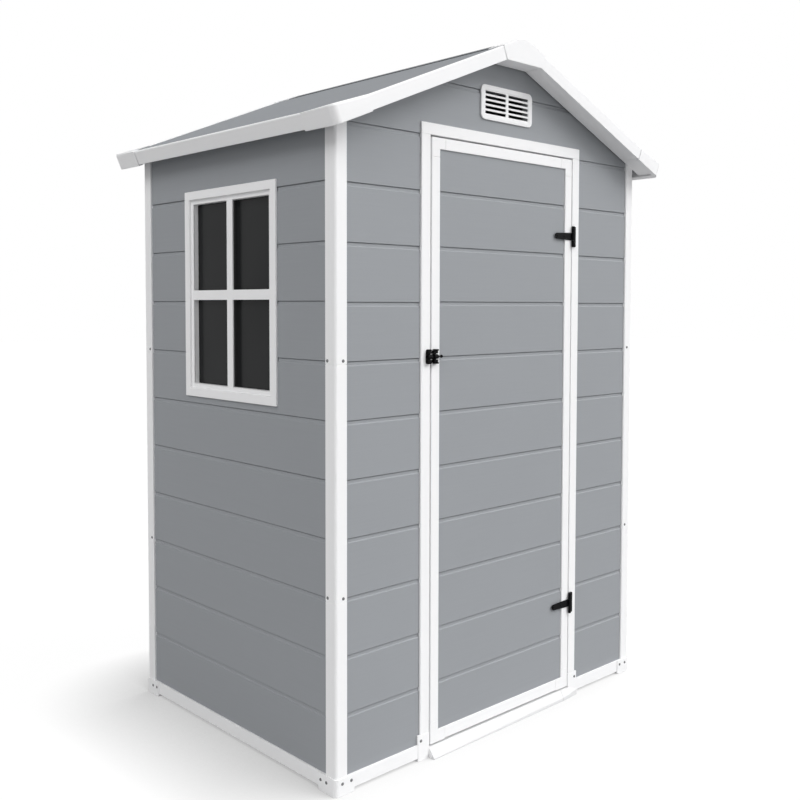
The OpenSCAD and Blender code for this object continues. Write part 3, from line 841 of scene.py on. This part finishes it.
vent_area = (vent_low.x - 3 * mm, vent_high.x + 3 * mm, vent_low.z, vent_high.z)
vent = bmesh.new()
outer_outline = add_rounded_outline(vent, vent_area, vent_radius, vent_front)
inner_outline = add_rounded_outline(vent, shrunk(vent_area, vent_rim), vent_inner_radius, vent_front)
bmesh.ops.bridge_loops(vent, edges=outer_outline + inner_outline)
extrude(vent, vent.faces[:], (0, wall_front - vent_front, 0))
round_edges(vent, corners_of(vent), 1.5 * mm)
slots = [(min(side * slot_bar_half, side * (vent_high.x - slot_end)),
          max(side * slot_bar_half, side * (vent_high.x - slot_end)),
          vent_middle + row * slot_pitch - slot_height / 2,
          vent_middle + row * slot_pitch + slot_height / 2)
         for side in (-1, 1) for row in range(-2, 3)]
louvre_front = vent_front + louvre_set_back
louvres = pierced_plate(shrunk(vent_area, vent_rim - 1 * mm), slots, louvre_front,
                        louvre_front + louvre_thickness)
put_in(vent, louvres)
add_piece("vent_louvres", vent, "white_trim", "gable_vent")

# %% [markdown]
# ## The roof's white edges
#
# Rake boards follow the slope at the front and back, each with a soffit that runs back to the wall.
# Eave boards close the lower ends of the roof panels and stand a few millimetres above them. All of
# them are strips between two levels of the slope with ends cut square to it. A level is the height
# at which such a plane would meet the middle of the shed, so one function gives every outline.

# %% Levels on the slope
rake_low, rake_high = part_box("rake_front_left")
corner_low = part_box("eave_corners_front")[0]
fascia_back = -roof_high.y
board_rise = 1.5 * mm
board_level = panel_level + board_rise
fascia_height = 42.5 * mm
under_level = board_level - fascia_height
soffit_level = under_level + 3 * mm
soffit_thickness = 6.5 * mm
slope_lean = math.sin(roof_pitch) * math.cos(roof_pitch)
up_slope = Vector((math.sin(roof_pitch), 0, math.cos(roof_pitch)))


def slope_z(level, x):
    """Height of a level of the slope at a distance from the middle."""
    return level - fall * abs(x)


def lean(low, high):
    """How far an end that is square to the slope moves out between two levels."""
    return (high - low) * slope_lean


def square_strip(x0, x1, low, high):
    """Outline in X and Z of a board on the left slope between two levels, its ends square to it."""
    corners = ((x0, low), (x1, low), (x1 + lean(low, high), high), (x0 + lean(low, high), high))
    return [(-x, slope_z(level, x)) for x, level in corners]


def add_soffit(bm, outline):
    """The strip under the roof's edge, from just inside the rake board back to the wall."""
    soffit = bmesh.new()
    add_slab(soffit, outline, "Y", fascia_back - 1 * mm, -half_d)
    put_in(bm, soffit)


def facing(bm, direction):
    """The faces that look straight in a direction."""
    bmesh.ops.recalc_face_normals(bm, faces=bm.faces)
    direction = Vector(direction).normalized()
    return [f for f in bm.faces if f.normal.dot(direction) > 0.9999]


def edges_between(bm, direction_a, direction_b):
    """The edges where a face that looks one way meets a face that looks the other way."""
    faces_b = set(facing(bm, direction_b))
    return list({e for f in facing(bm, direction_a) for e in f.edges if faces_b & set(e.link_faces)})


print("levels in mm", [round(level / mm, 1) for level in (under_level, soffit_level, board_level)])

# %% Rake boards
forward = (0, -1, 0)
rake_start = -rake_high.x
eave_top_level = board_level + 3.5 * mm
eave_brow_x = -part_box("eave_left")[0].x
sides = {"left": 1, "right": -1}
ends = {"front": 1, "back": -1}
rake_end = eave_brow_x - lean(under_level, eave_top_level) - 30 * mm
corner_start = 580 * mm
joint_slack = 0.2 * mm
soffit_lean = lean(under_level, soffit_level)


def rake_board():
    """The front left rake board with its soffit."""
    bm = bmesh.new()
    add_slab(bm, square_strip(rake_start, rake_end, under_level, board_level), "Y", rake_low.y, fascia_back)
    round_edges(bm, edges_between(bm, forward, (-up_slope.x, 0, up_slope.z)), 3.5 * mm, 4)
    round_edges(bm, edges_between(bm, forward, (up_slope.x, 0, -up_slope.z)), 1.2 * mm)
    add_soffit(bm, square_strip(rake_start + soffit_lean + joint_slack,
                                corner_start + soffit_lean - joint_slack,
                                soffit_level, soffit_level + soffit_thickness))
    return bm


for end, y in ends.items():
    for side, x in sides.items():
        rake = rake_board()
        flip(rake, x, y)
        add_piece(f"rake_board_{end}_{side}", rake, "white_trim", f"rake_{end}_{side}")

# %% Eave boards
fascia_thickness = fascia_back - rake_low.y
eave_under_level = under_level + 1 * mm
eave_in_x = eave_brow_x - lean(eave_under_level, eave_top_level) - fascia_thickness / math.cos(roof_pitch)
left_up = Vector((-up_slope.x, 0, up_slope.z))
left_down = Vector((-up_slope.z, 0, -up_slope.x))
for side, x in sides.items():
    eave = bmesh.new()
    strip = square_strip(eave_in_x, eave_in_x + fascia_thickness / math.cos(roof_pitch),
                         eave_under_level, eave_top_level)
    add_slab(eave, strip, "Y", fascia_back, -fascia_back)
    round_edges(eave, edges_between(eave, left_up, left_down), 4.5 * mm, 4)
    round_edges(eave, edges_between(eave, left_up, -left_down), 1 * mm)
    round_edges(eave, edges_between(eave, -left_up, left_down), 1.5 * mm)
    flip(eave, x)
    add_piece(f"eave_board_{side}", eave, "white_trim", f"eave_{side}")

# %% [markdown]
# ## Covers on the roof's corners
#
# Where a rake board meets an eave board, a thin white cover slips over both and over the corner of the
# roof panel. Its top is a little flatter than the slope, which makes the brow at the roof's corner.
# The cover starts as a solid block of its outer shape, whose corner and rim are rounded. Then the
# part over the roof panel is taken away, which leaves the top in the shape of an L with a lip down to
# the panel, and what is left is given the thickness of the moulding.

# %% Corner covers
cover_proud = 3 * mm
cover_wall = 2 * mm
cover_back = -418 * mm
cover_low_level = under_level - cover_proud
cover_high_level = board_level + 1 * mm
cover_start = corner_start - lean(cover_low_level, under_level)
lap_level = panel_level + seat_gap
cover_brow = Vector((corner_low.x, 0, 1720.5 * mm))
brow_height = (cover_brow.z - slope_z(cover_low_level, cover_brow.x)) * math.cos(roof_pitch)
cover_foot_x = -cover_brow.x - brow_height * math.sin(roof_pitch)
cover_top_x = cover_start + lean(cover_low_level, cover_high_level)
cover_corner_radius = 18 * mm
cover_rim_radius = 7 * mm
cover_foot_radius = 2 * mm


def corner_cover():
    """The cover on the front left corner of the roof."""
    bm = bmesh.new()
    outline = [(-cover_start, slope_z(cover_low_level, cover_start)),
               (-cover_foot_x, slope_z(cover_low_level, cover_foot_x)),
               (cover_brow.x, cover_brow.z), (-cover_top_x, slope_z(cover_high_level, cover_top_x))]
    add_slab(bm, outline, "Y", corner_low.y, cover_back)
    top_run = Vector((outline[3][0] - outline[2][0], 0, outline[3][1] - outline[2][1]))
    top_up = Vector((-top_run.z, 0, top_run.x))
    round_edges(bm, edges_between(bm, forward, left_down), cover_corner_radius, 6)
    top = set(facing(bm, top_up))
    ends_of_cover = set(facing(bm, -left_down)) | set(facing(bm, (0, 1, 0)))
    rim = [e for f in top for e in f.edges if not ends_of_cover & set(e.link_faces)]
    round_edges(bm, rim, cover_rim_radius, 4)
    foot = set(facing(bm, -left_up))
    ends_of_cover = set(facing(bm, -left_down)) | set(facing(bm, (0, 1, 0)))
    foot_edges = [e for f in foot for e in f.edges if not ends_of_cover & set(e.link_faces)]
    round_edges(bm, foot_edges, cover_foot_radius, 2)
    for v in bm.verts:
        along = (v.co.y - corner_low.y) / (cover_back - corner_low.y)
        v.co.z -= along * max(0, v.co.z - slope_z(eave_top_level + 1 * mm, v.co.x))
    cut(bm, (0, fascia_back, 0), (0, 1, 0))
    seat = Vector((-eave_in_x, 0, slope_z(eave_under_level, eave_in_x)))
    cut(bm, seat, left_down)
    bmesh.ops.recalc_face_normals(bm, faces=bm.faces)

    def is_open(f):
        c = f.calc_center_median()
        over_roof = c.y > fascia_back and (c - seat).dot(left_down) < 0
        return over_roof or f.normal.dot(-left_down) > 0.9999 or f.normal.y > 0.9999

    def is_inner_edge(e):
        at_roof = all(v.co.y > fascia_back - 1e-6 and (v.co - seat).dot(left_down) < 1e-6 for v in e.verts)
        return e.is_boundary and at_roof and all(v.co.z > slope_z(lap_level, v.co.x) for v in e.verts)

    bmesh.ops.delete(bm, geom=[f for f in bm.faces if is_open(f)], context="FACES")
    lip = bmesh.ops.extrude_edge_only(bm, edges=[e for e in bm.edges if is_inner_edge(e)])["geom"]
    for v in (g for g in lip if isinstance(g, bmesh.types.BMVert)):
        v.co.z = slope_z(lap_level, v.co.x)
    bmesh.ops.recalc_face_normals(bm, faces=bm.faces)
    bmesh.ops.solidify(bm, geom=bm.faces[:], thickness=cover_wall)
    add_soffit(bm, square_strip(corner_start + soffit_lean + 0.6 * mm, eave_in_x - 1 * mm,
                                soffit_level, soffit_level + soffit_thickness))
    return bm


for end, y in ends.items():
    covers = bmesh.new()
    for side, x in sides.items():
        cover = corner_cover()
        flip(cover, x, y)
        put_in(covers, cover)
    add_piece(f"corner_covers_{end}", covers, "white_trim", f"eave_corners_{end}")

# %% [markdown]
# ## The ridge
#
# A charcoal moulding closes the ridge, and a white cover at each end joins the two rake boards and laps
# over the end of the ridge. All three have the same rounded top. Each is an outline extruded along
# the ridge, whose sharp peak is then bevelled: a bevel of radius times the tangent of the pitch gives
# an arc of that radius, which runs on smoothly into both slopes.

# %% Ridge cover
ridge_half = -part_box("ridge_cap")[0].x
ridge_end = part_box("ridge_cap")[0].y
ridge_radius = 93 * mm
ridge_level = board_level + 0.5 * mm
apex_level = board_level + 1.5 * mm
tongue_half = -roof_high.x - seat_gap
peak_offset = ridge_radius * math.tan(roof_pitch)


def ridge_length(level, start, end):
    """A length of ridge: a flange over the panels, a tongue between them and a rounded top."""
    bm = bmesh.new()
    half = [(ridge_half, slope_z(level, ridge_half)), (ridge_half, slope_z(lap_level, ridge_half)),
            (tongue_half, slope_z(lap_level, tongue_half)),
            (tongue_half, slope_z(panel_under_level, tongue_half))]
    outline = [(0, level)] + half + [(-x, z) for x, z in reversed(half)]
    add_slab(bm, outline, "Y", start, end)
    round_edges(bm, edges_at(bm, "Y", x=0, z=level), peak_offset, 14)
    return bm


ridge = ridge_length(ridge_level, ridge_end, -ridge_end)
add_piece("ridge_cover", ridge, "dark_cap", "ridge_cap")

# %% Covers at the ends of the ridge
apex_front = rake_low.y - 2 * mm
apex_gap = 0.8 * mm
apex_half = rake_start - apex_gap


def apex_cover():
    """The cover at the front end of the ridge."""
    bm = bmesh.new()
    top_x = apex_half + lean(under_level, apex_level)
    half = [(top_x, slope_z(apex_level, top_x)), (apex_half, slope_z(under_level, apex_half))]
    outline = [(0, apex_level)] + half + [(-x, z) for x, z in reversed(half)]
    add_slab(bm, outline, "Y", apex_front, fascia_back)
    round_edges(bm, edges_at(bm, "Y", x=0, z=apex_level), peak_offset, 14)
    front = set(facing(bm, forward))
    round_edges(bm, [e for f in front for e in f.edges], 1.5 * mm, 3)
    put_in(bm, ridge_length(apex_level, fascia_back - 1 * mm, ridge_end))
    soffit = bmesh.new()
    soffit_half = apex_half + soffit_lean
    soffit_z = slope_z(soffit_level, soffit_half)
    add_box(soffit, (-soffit_half, fascia_back - 1 * mm, soffit_z),
            (soffit_half, -half_d, soffit_z + soffit_thickness))
    put_in(bm, soffit)
    return bm


for end, y in ends.items():
    cover = apex_cover()
    flip(cover, 1, y)
    add_piece(f"ridge_end_cover_{end}", cover, "white_trim", f"apex_cap_{end}")

# %% [markdown]
# ## The door
#
# The door is a boarded panel in a white frame. The frame is four L-shaped corner mouldings, into which
# the straight stiles and rails are plugged, so there is a fine joint on each side of every corner.
# Door boards are the wall's own boards, two millimetres higher.

# %% Door boards
door_line_rise = 2 * mm
door_notch = 10 * mm
low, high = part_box("door_panel")
lines = [z + door_line_rise for z in front_lines]
boards = boarded_panel(low.x, high.x, low.z, high.z, low.y, high.y - low.y, lines, door_notch)
add_piece("door_boards", boards, "grey_panel", "door_panel", body="door")

# %% Door frame
door_low, door_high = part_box("door_stiles")
panel_low, panel_high = low, high
top_arm = 52 * mm
bottom_arm = 57.5 * mm
bottom_corner_height = 60 * mm
frame_joint = 0.3 * mm
frame_edge = 1.0 * mm


def door_corner(x_side, z_side):
    """An L-shaped corner of the door's frame."""
    bm = bmesh.new()
    x0, x1 = (door_low.x, panel_low.x) if x_side < 0 else (door_high.x, panel_high.x)
    z0, z1 = (door_low.z, panel_low.z) if z_side < 0 else (door_high.z, panel_high.z)
    arm = bottom_arm if z_side < 0 else top_arm
    height = bottom_corner_height if z_side < 0 else top_arm
    x2 = x0 - x_side * arm
    z2 = z0 - z_side * height
    add_slab(bm, [(x0, z0), (x2, z0), (x2, z1), (x1, z1), (x1, z2), (x0, z2)], "Y", door_low.y, door_high.y)
    round_edges(bm, edges_at(bm, "Y", x=x0, z=z0), 2 * mm, 3)
    round_edges(bm, corners_of(bm), frame_edge)
    return bm


door_frame = bmesh.new()
for x_side in (-1, 1):
    for z_side in (-1, 1):
        put_in(door_frame, door_corner(x_side, z_side))
stile_bottom = door_low.z + bottom_corner_height + frame_joint
stile_top = door_high.z - top_arm - frame_joint
for x0, x1 in ((door_low.x, panel_low.x), (panel_high.x, door_high.x)):
    put_in(door_frame, eased_box((x0, door_low.y, stile_bottom), (x1, door_high.y, stile_top), frame_edge))
for z0, z1, arm in ((door_low.z + 2 * mm, panel_low.z, bottom_arm), (panel_high.z, door_high.z, top_arm)):
    x0, x1 = door_low.x + arm + frame_joint, door_high.x - arm - frame_joint
    put_in(door_frame, eased_box((x0, door_low.y, z0), (x1, door_high.y, z1), frame_edge))
add_piece("door_frame", door_frame, "white_trim", "door_stiles", "door_rails", body="door")

# %% [markdown]
# ## Hinges
#
# Two black strap hinges carry the door. A plate with two knuckles and the pin is screwed to the jamb,
# and a tapered strap with the middle knuckle lies on the door. Turned parts such as knuckles, pins
# and screws are profiles of radius and height, spun round an axis.

# %% Turned parts
def add_turned(bm, profile, place, steps=20):
    """Spins a profile of (radius, height) points round its axis and moves it into place."""
    part = bmesh.new()
    verts = [part.verts.new((r, 0, z)) for r, z in profile]
    edges = [part.edges.new(pair) for pair in zip(verts, verts[1:])]
    bmesh.ops.spin(part, geom=verts + edges, cent=(0, 0, 0), axis=(0, 0, 1), dvec=(0, 0, 0),
                   angle=math.tau, steps=steps, use_merge=True)
    bmesh.ops.remove_doubles(part, verts=part.verts, dist=1e-6)
    bmesh.ops.transform(part, matrix=place, verts=part.verts)
    put_in(bm, part)


def tube_profile(inner, outer, z0, z1, edge):
    """A tube from z0 to z1 with eased outer edges."""
    return [(inner, z0), (outer - edge, z0), (outer, z0 + edge), (outer, z1 - edge), (outer - edge, z1),
            (inner, z1), (inner, z0)]


def at(x, y, z):
    """A place with the axis upright."""
    return Matrix.Translation((x, y, z))


def screw_profile(radius, height):
    """A low domed head standing on the surface, with a small dished recess in the middle."""
    return [(0, height * 0.45), (radius * 0.35, height * 0.6), (radius * 0.45, height),
            (radius * 0.75, height * 0.85), (radius, height * 0.35), (radius, -0.5 * mm), (0, -0.5 * mm)]


facing_front = Matrix.Rotation(math.pi / 2, 4, "X")
facing_left = Matrix.Rotation(-math.pi / 2, 4, "Y")
facing_right = Matrix.Rotation(math.pi / 2, 4, "Y")

# %% Plates on the jamb and straps on the door
strap_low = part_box("hinge_straps")[0]
plate_low, plate_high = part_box("hinge_plates")
knuckle_radius = 4.5 * mm
pin_radius = 2 * mm
pin_x = plate_low.x + knuckle_radius
pin_y = plate_low.y + knuckle_radius
leaf_front = door_low.y - 3 * mm
hinge_half = 32 * mm
strap_half = 12 * mm
tip_radius = 9 * mm
notch_half = strap_half + 0.5 * mm
hinge_heights = (plate_low.z + hinge_half, plate_high.z - hinge_half)
plate_inner, plate_outer, notch_x = 311 * mm, plate_high.x, 316 * mm
tip_x = strap_low.x + tip_radius
strap_root = pin_x - 1.5 * mm
screw_radius = 3.4 * mm

plates = bmesh.new()
straps = bmesh.new()
for z in hinge_heights:
    plate = bmesh.new()
    add_slab(plate, [(plate_inner, z - hinge_half), (plate_outer, z - hinge_half),
                     (plate_outer, z + hinge_half), (plate_inner, z + hinge_half),
                     (plate_inner, z + notch_half), (notch_x, z + notch_half),
                     (notch_x, z - notch_half), (plate_inner, z - notch_half)],
             "Y", leaf_front, door_low.y)
    corners = [e for side in (-1, 1) for e in edges_at(plate, "Y", x=plate_outer, z=z + side * hinge_half)]
    round_edges(plate, corners, 4 * mm, 4)
    round_edges(plate, edges_between(plate, forward, (1, 0, 0)), 0.8 * mm)
    put_in(plates, plate)
    for z0, z1 in ((notch_half, hinge_half), (-hinge_half, -notch_half)):
        add_turned(plates, tube_profile(pin_radius, knuckle_radius, z0, z1, 0.8 * mm), at(pin_x, pin_y, z))
    pin_half = hinge_half - 0.6 * mm
    pin = [(0, -pin_half), (pin_radius, -pin_half), (pin_radius, pin_half), (0, pin_half)]
    add_turned(plates, pin, at(pin_x, pin_y, z))
    for side in (-1, 1):
        add_turned(plates, screw_profile(screw_radius, 1.4 * mm),
                   at(plate_outer - 6 * mm, leaf_front, z + side * 22 * mm) @ facing_front, 16)
    strap = bmesh.new()
    tip = [(tip_x - tip_radius * math.sin(a), z + tip_radius * math.cos(a))
           for a in (math.pi * n / 10 for n in range(11))]
    root = [(strap_root, z - strap_half), (strap_root, z + strap_half)]
    add_slab(strap, root + tip, "Y", leaf_front, door_low.y)
    round_edges(strap, [e for f in facing(strap, forward) for e in f.edges], 0.8 * mm)
    put_in(straps, strap)
    add_turned(straps, tube_profile(pin_radius + 0.3 * mm, knuckle_radius, -strap_half, strap_half, 0.8 * mm),
               at(pin_x, pin_y, z))
    for reach in (0, 34 * mm):
        add_turned(straps, screw_profile(screw_radius, 1.4 * mm),
                   at(tip_x + reach, leaf_front, z) @ facing_front, 16)
add_piece("hinge_plates_and_pins", plates, "black_hardware", "hinge_plates")
add_piece("hinge_strap_leaves", straps, "black_hardware", "hinge_straps", body="door")

# %% [markdown]
# ## The latch
#
# A small slide latch holds the door: a body on the stile, a keeper on the jamb, and a bolt with a
# knob. Body and keeper have the same section, two raised cheeks and a barrel between them on a thin
# base plate, and chamfered corners where they face each other. The body also has a small flange at
# its top and its bottom, flush with the cheeks.

# %% Keeper and body
keeper_low, keeper_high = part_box("latch_keeper")
body_low, body_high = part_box("latch_body")
bolt_low, bolt_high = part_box("latch_bolt")
bolt_radius = 4.5 * mm
bolt_y = (bolt_low.y + bolt_high.y) / 2
latch_z = (bolt_low.z + bolt_high.z) / 2
barrel_radius = bolt_y - keeper_low.y + 0.2 * mm
bore_radius = bolt_radius + 0.3 * mm
base_thickness = 2 * mm
cheek_front = keeper_low.y + 3.5 * mm
cheek_edge = 8.5 * mm


def latch_half(x0, x1, outer, outer_radius, facing_cut):
    """A half of the latch from x0 to x1: rounded corners at its outer end, cut ones at the other."""
    bm = bmesh.new()
    low_z, high_z = keeper_low.z, keeper_high.z
    inner = x1 if outer == x0 else x0
    base = bmesh.new()
    add_box(base, (x0, -half_d - base_thickness, low_z), (x1, -half_d, high_z))
    for x, radius, steps in ((outer, outer_radius, 4), (inner, facing_cut, 1)):
        corners = edges_at(base, "Y", x=x, z=low_z) + edges_at(base, "Y", x=x, z=high_z)
        round_edges(base, corners, radius, steps)
    put_in(bm, base)
    for z0, z1 in ((low_z, latch_z - cheek_edge), (latch_z + cheek_edge, high_z)):
        cheek = bmesh.new()
        edge_z = z0 if z0 == low_z else z1
        add_box(cheek, (x0, cheek_front, z0), (x1, -half_d - base_thickness + 0.5 * mm, z1))
        round_edges(cheek, edges_at(cheek, "Y", x=outer, z=edge_z), outer_radius, 4)
        round_edges(cheek, edges_at(cheek, "Y", x=inner, z=edge_z), facing_cut, 1)
        round_edges(cheek, [e for f in facing(cheek, forward) for e in f.edges], 0.7 * mm)
        put_in(bm, cheek)
    add_turned(bm, tube_profile(bore_radius, barrel_radius, 0, x1 - x0, 0.8 * mm),
               at(x0, bolt_y, latch_z) @ facing_right, 24)
    return bm


keeper = latch_half(keeper_low.x, keeper_high.x, keeper_low.x, 5 * mm, 4 * mm)
add_piece("latch_keeper_casting", keeper, "black_hardware", "latch_keeper")
flange_reach = 3 * mm
flange_height = 4 * mm
flange_radius = 2.5 * mm
latch_half_height = 20 * mm
cheek_end = body_high.x - flange_reach
latch = latch_half(body_low.x, cheek_end, cheek_end, 1 * mm, 4 * mm)
for side in (-1, 1):
    flange = bmesh.new()
    edge_z = latch_z + side * latch_half_height
    z0, z1 = sorted((edge_z, edge_z - side * flange_height))
    add_box(flange, (body_low.x + flange_radius, cheek_front, z0), (body_high.x, -half_d, z1))
    round_edges(flange, edges_at(flange, "Y", x=body_high.x, z=edge_z), flange_radius, 4)
    put_in(latch, flange)
add_piece("latch_body_casting", latch, "black_hardware", "latch_body", body="door")

# %% Bolt
neck_radius = bolt_radius / 2
grip = 14 * mm
knob = 9 * mm
bolt_length = bolt_high.x - bolt_low.x
knob_middle = bolt_length - knob / 2
knob_arc = [(bolt_radius * math.cos(a), knob_middle + bolt_radius * math.sin(a))
            for a in (math.radians(d) for d in range(-60, 91, 15))]
bolt_profile = [(0, 0), (bolt_radius - 0.8 * mm, 0), (bolt_radius, 0.8 * mm), (bolt_radius, grip - 0.6 * mm),
                (bolt_radius - 0.6 * mm, grip), (neck_radius, grip)] + knob_arc
bolt = bmesh.new()
add_turned(bolt, bolt_profile, at(bolt_low.x, bolt_y, latch_z) @ facing_right, 24)
add_piece("bolt_with_knob", bolt, "black_hardware", "latch_bolt", body="bolt")

# %% [markdown]
# ## Screws
#
# Zinc plated pan head screws hold the posts at their joints, the corner feet and the jamb shoes. They
# are the same turned head on every face, and four corners have the same ones.

# %% Screws in the posts, feet and shoes
head = screw_profile(4.2 * mm, 2 * mm)
post_screw_heights = (506.5 * mm, 1107.5 * mm)
post_screw_x = 25 * mm
post_screw_y = 31.5 * mm
front_screws = [(-half_w + post_screw_x, -half_d, z) for z in post_screw_heights]
side_screws = [(-half_w, -half_d + post_screw_y, z) for z in post_screw_heights]
foot_front_screws = [(-half_w + x, foot_low.y, 32 * mm) for x in (19.4 * mm, 49 * mm)]
foot_side_screws = [(foot_low.x, -half_d + y, 29 * mm) for y in (34.4 * mm, 58 * mm)]
shoe_screws = [(-345 * mm, shoe_low.y, 56 * mm)]


def add_heads(bm, places, turned):
    """Adds a screw head at each place."""
    for x, y, z in places:
        add_turned(bm, head, at(x, y, z) @ turned, 16)


post_screws = bmesh.new()
add_heads(post_screws, front_screws + foot_front_screws, facing_front)
add_heads(post_screws, side_screws + foot_side_screws, facing_left)
add_mirror_image(post_screws, "X")
add_mirror_image(post_screws, "Y")
add_heads(post_screws, shoe_screws, facing_front)
add_heads(post_screws, [(-x, y, z) for x, y, z in shoe_screws], facing_front)
add_piece("screw_heads", post_screws, "white_trim", material=zinc)

# %% [markdown]
# ## Parts of the construction model that stay
#
# The two roof panels and the floor are plain slabs on the real shed as well, so the construction
# model's own parts stay and only get their plastic.

# %% Finishes on the remaining parts
for node, slot in (("roof_left", "roof_panel"), ("roof_right", "roof_panel"), ("floor_panel", "floor_panel")):
    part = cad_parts[node]
    part.data.materials.clear()
    part.data.materials.append(finishes[slot])
print("pieces made:", piece_count)
